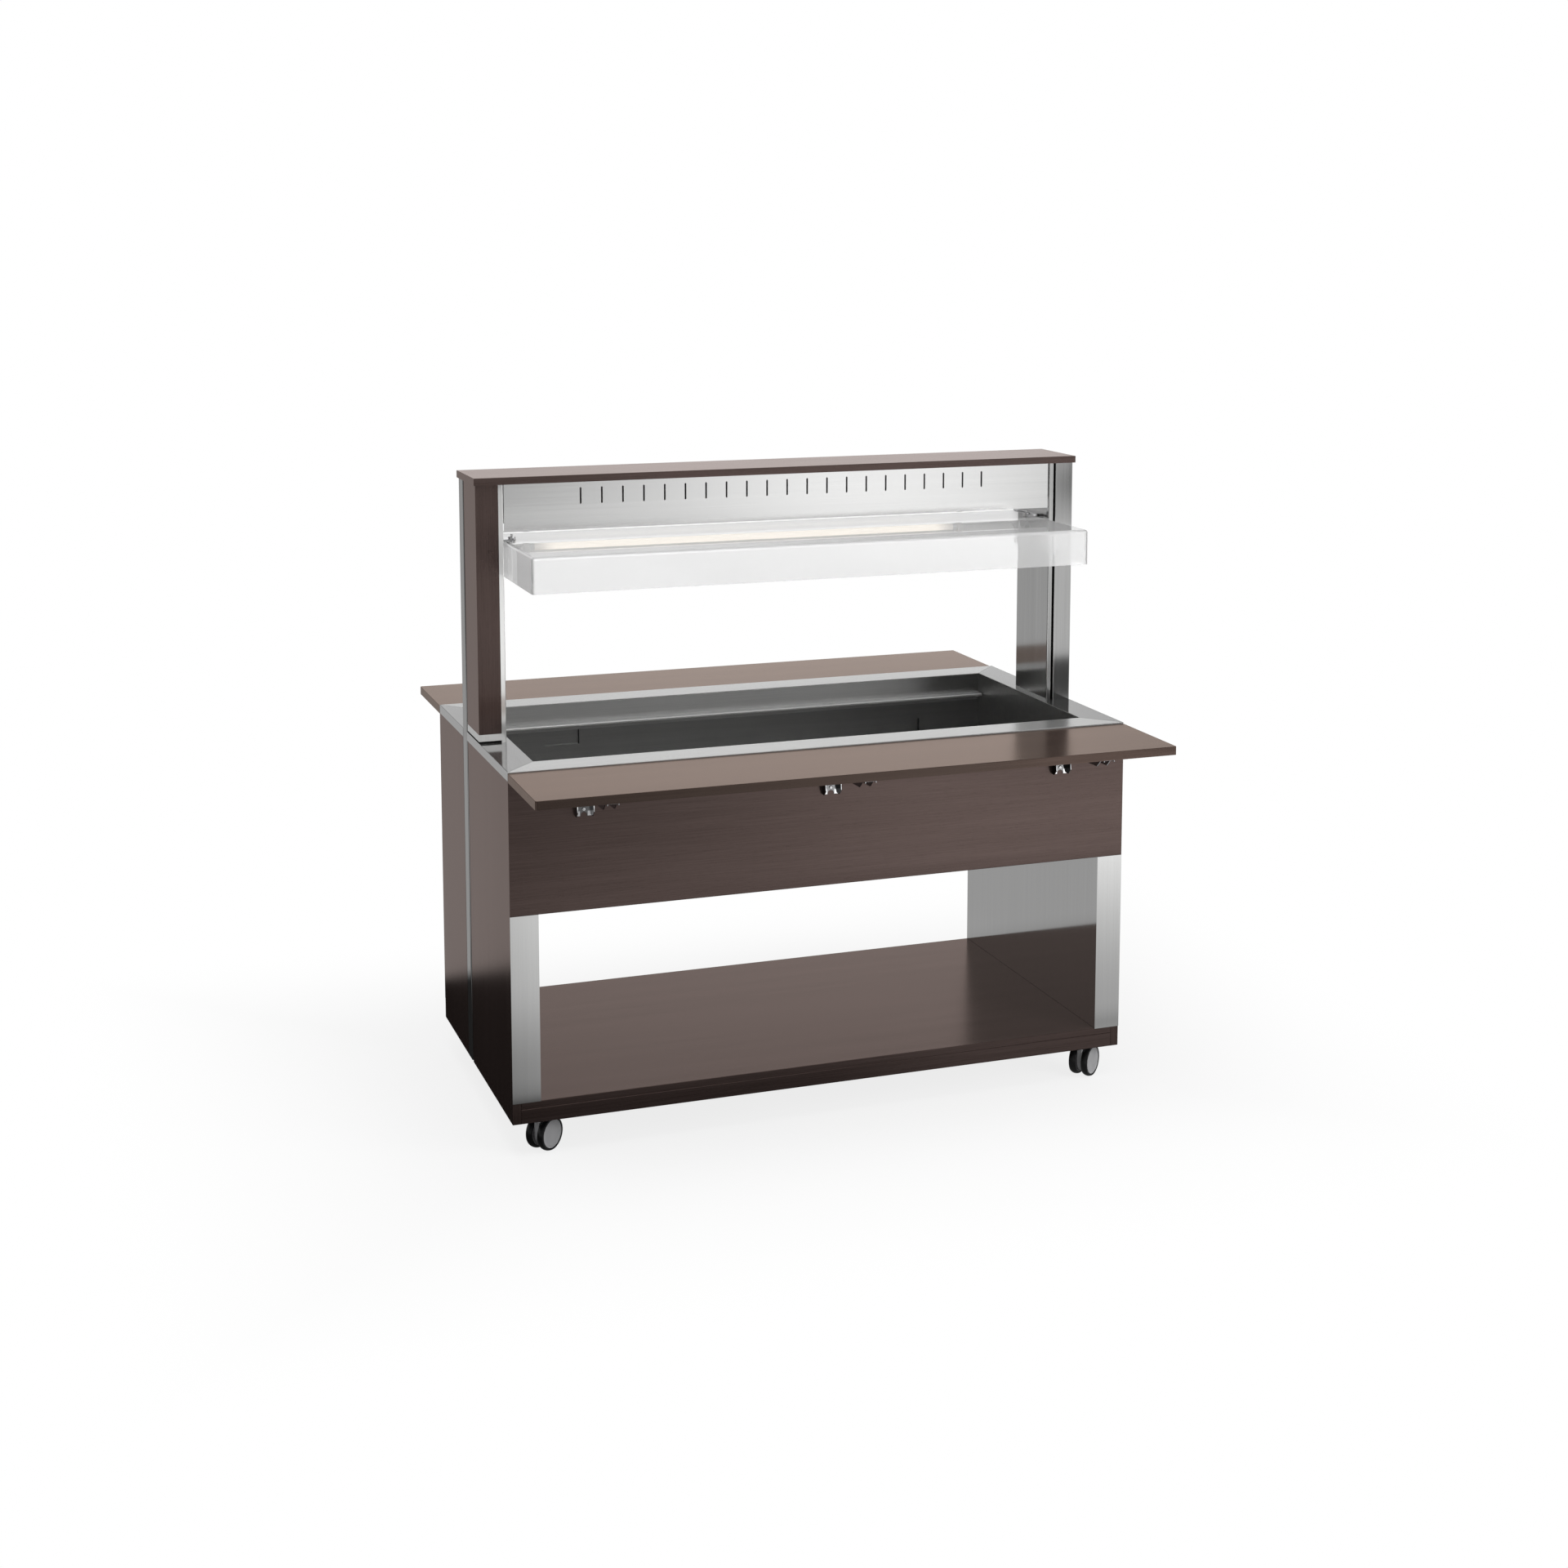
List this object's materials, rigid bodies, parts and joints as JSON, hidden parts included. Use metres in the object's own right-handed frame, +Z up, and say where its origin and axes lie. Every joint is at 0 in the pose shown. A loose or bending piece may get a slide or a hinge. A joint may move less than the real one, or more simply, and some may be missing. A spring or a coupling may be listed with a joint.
{
  "type": "buffet trolley",
  "caption": "Mobile buffet trolley with wood panels, a stainless food well, a lit bridge with a clear guard, folding tray slides on both long sides and twin-wheel swivel castors.",
  "frame": {"origin": "on the floor under the middle of the trolley", "axes": "+X along the length to the right, -Y towards the guests at the guarded front, +Z up"},
  "size_m": [1.458, 1.22, 1.447],
  "materials": {
    "wood_upright": "dark laminate, grain upright",
    "wood_lengthwise": "dark laminate, grain lengthwise",
    "stainless_counter": "brushed lengthwise",
    "stainless_upright": "brushed upright",
    "chrome": "bright plated",
    "clear_acrylic": "clear, polished",
    "white_enamel": "gloss white",
    "lamp_glass": "opal, warm white",
    "lamp_socket": "moulded",
    "castor_steel": "zinc plated",
    "castor_plastic": "grey, moulded",
    "castor_tyre": "smooth tread"
  },
  "bodies": {
    "frame": {"ballast": "white_enamel", "bridge_board": "wood_lengthwise", "castor_plates": "castor_steel", "counter": "stainless_counter", "front_apron": "wood_lengthwise", "guard": "clear_acrylic", "guard_clamps": "chrome", "lamp_holders": "lamp_socket", "lamp_reflector": "white_enamel", "lamp_tube": "lamp_glass", "left_front_panel": "wood_upright", "left_liner": "stainless_upright", "left_post_box": "wood_upright", "left_post_cover": "stainless_upright", "left_post_foot": "stainless_upright", "left_rear_panel": "wood_upright", "left_upright": "stainless_upright", "light_housing": "stainless_upright", "pan_ledges": "stainless_counter", "plinth_rails": "wood_lengthwise", "rear_apron": "wood_lengthwise", "right_front_panel": "wood_upright", "right_liner": "stainless_upright", "right_post_box": "stainless_upright", "right_post_cover": "stainless_upright", "right_rear_panel": "wood_upright", "right_upright": "stainless_upright", "shelf": "wood_lengthwise", "tray_legs": "chrome", "tray_pins": "chrome", "tub": "stainless_counter"},
    "front_tray_slide": {"front_tray": "wood_lengthwise", "front_tray_arms": "chrome"},
    "rear_tray_slide": {"rear_tray": "wood_lengthwise", "rear_tray_arms": "chrome"},
    "castor_front_left": {"castor_front_left_fork": "castor_plastic", "castor_front_left_axle": "castor_steel"},
    "wheel_front_left_inner": {"castor_front_left_inner_wheel": "castor_plastic", "castor_front_left_inner_tyre": "castor_tyre"},
    "wheel_front_left_outer": {"castor_front_left_outer_wheel": "castor_plastic", "castor_front_left_outer_tyre": "castor_tyre"},
    "castor_front_right": {"castor_front_right_fork": "castor_plastic", "castor_front_right_axle": "castor_steel"},
    "wheel_front_right_inner": {"castor_front_right_inner_wheel": "castor_plastic", "castor_front_right_inner_tyre": "castor_tyre"},
    "wheel_front_right_outer": {"castor_front_right_outer_wheel": "castor_plastic", "castor_front_right_outer_tyre": "castor_tyre"},
    "castor_rear_left": {"castor_rear_left_fork": "castor_plastic", "castor_rear_left_axle": "castor_steel"},
    "wheel_rear_left_inner": {"castor_rear_left_inner_wheel": "castor_plastic", "castor_rear_left_inner_tyre": "castor_tyre"},
    "wheel_rear_left_outer": {"castor_rear_left_outer_wheel": "castor_plastic", "castor_rear_left_outer_tyre": "castor_tyre"},
    "castor_rear_right": {"castor_rear_right_fork": "castor_plastic", "castor_rear_right_axle": "castor_steel"},
    "wheel_rear_right_inner": {"castor_rear_right_inner_wheel": "castor_plastic", "castor_rear_right_inner_tyre": "castor_tyre"},
    "wheel_rear_right_outer": {"castor_rear_right_outer_wheel": "castor_plastic", "castor_rear_right_outer_tyre": "castor_tyre"}
  },
  "joints": [
    {"name": "front_tray_fold", "type": "hinge", "parent": "frame", "child": "front_tray_slide", "pos_m": [0, -0.3785, 0.819], "axis": [1, 0, 0], "range_deg": [0, 90]},
    {"name": "rear_tray_fold", "type": "hinge", "parent": "frame", "child": "rear_tray_slide", "pos_m": [0, 0.3785, 0.819], "axis": [-1, 0, 0], "range_deg": [0, 90]},
    {"name": "castor_front_left_swivel", "type": "hinge", "parent": "frame", "child": "castor_front_left", "pos_m": [-0.654, -0.319, 0.09], "axis": [0, 0, 1], "continuous": true},
    {"name": "wheel_front_left_inner_spin", "type": "hinge", "parent": "castor_front_left", "child": "wheel_front_left_inner", "pos_m": [-0.64454, -0.31161, 0.0375], "axis": [-0.6157, 0.788, 0], "continuous": true},
    {"name": "wheel_front_left_outer_spin", "type": "hinge", "parent": "castor_front_left", "child": "wheel_front_left_outer", "pos_m": [-0.64454, -0.31161, 0.0375], "axis": [-0.6157, 0.788, 0], "continuous": true},
    {"name": "castor_front_right_swivel", "type": "hinge", "parent": "frame", "child": "castor_front_right", "pos_m": [0.654, -0.319, 0.09], "axis": [0, 0, 1], "continuous": true},
    {"name": "wheel_front_right_inner_spin", "type": "hinge", "parent": "castor_front_right", "child": "wheel_front_right_inner", "pos_m": [0.66346, -0.31161, 0.0375], "axis": [-0.6157, 0.788, 0], "continuous": true},
    {"name": "wheel_front_right_outer_spin", "type": "hinge", "parent": "castor_front_right", "child": "wheel_front_right_outer", "pos_m": [0.66346, -0.31161, 0.0375], "axis": [-0.6157, 0.788, 0], "continuous": true},
    {"name": "castor_rear_left_swivel", "type": "hinge", "parent": "frame", "child": "castor_rear_left", "pos_m": [-0.654, 0.319, 0.09], "axis": [0, 0, 1], "continuous": true},
    {"name": "wheel_rear_left_inner_spin", "type": "hinge", "parent": "castor_rear_left", "child": "wheel_rear_left_inner", "pos_m": [-0.64454, 0.32639, 0.0375], "axis": [-0.6157, 0.788, 0], "continuous": true},
    {"name": "wheel_rear_left_outer_spin", "type": "hinge", "parent": "castor_rear_left", "child": "wheel_rear_left_outer", "pos_m": [-0.64454, 0.32639, 0.0375], "axis": [-0.6157, 0.788, 0], "continuous": true},
    {"name": "castor_rear_right_swivel", "type": "hinge", "parent": "frame", "child": "castor_rear_right", "pos_m": [0.654, 0.319, 0.09], "axis": [0, 0, 1], "continuous": true},
    {"name": "wheel_rear_right_inner_spin", "type": "hinge", "parent": "castor_rear_right", "child": "wheel_rear_right_inner", "pos_m": [0.66346, 0.32639, 0.0375], "axis": [-0.6157, 0.788, 0], "continuous": true},
    {"name": "wheel_rear_right_outer_spin", "type": "hinge", "parent": "castor_rear_right", "child": "wheel_rear_right_outer", "pos_m": [0.66346, 0.32639, 0.0375], "axis": [-0.6157, 0.788, 0], "continuous": true}
  ]
}
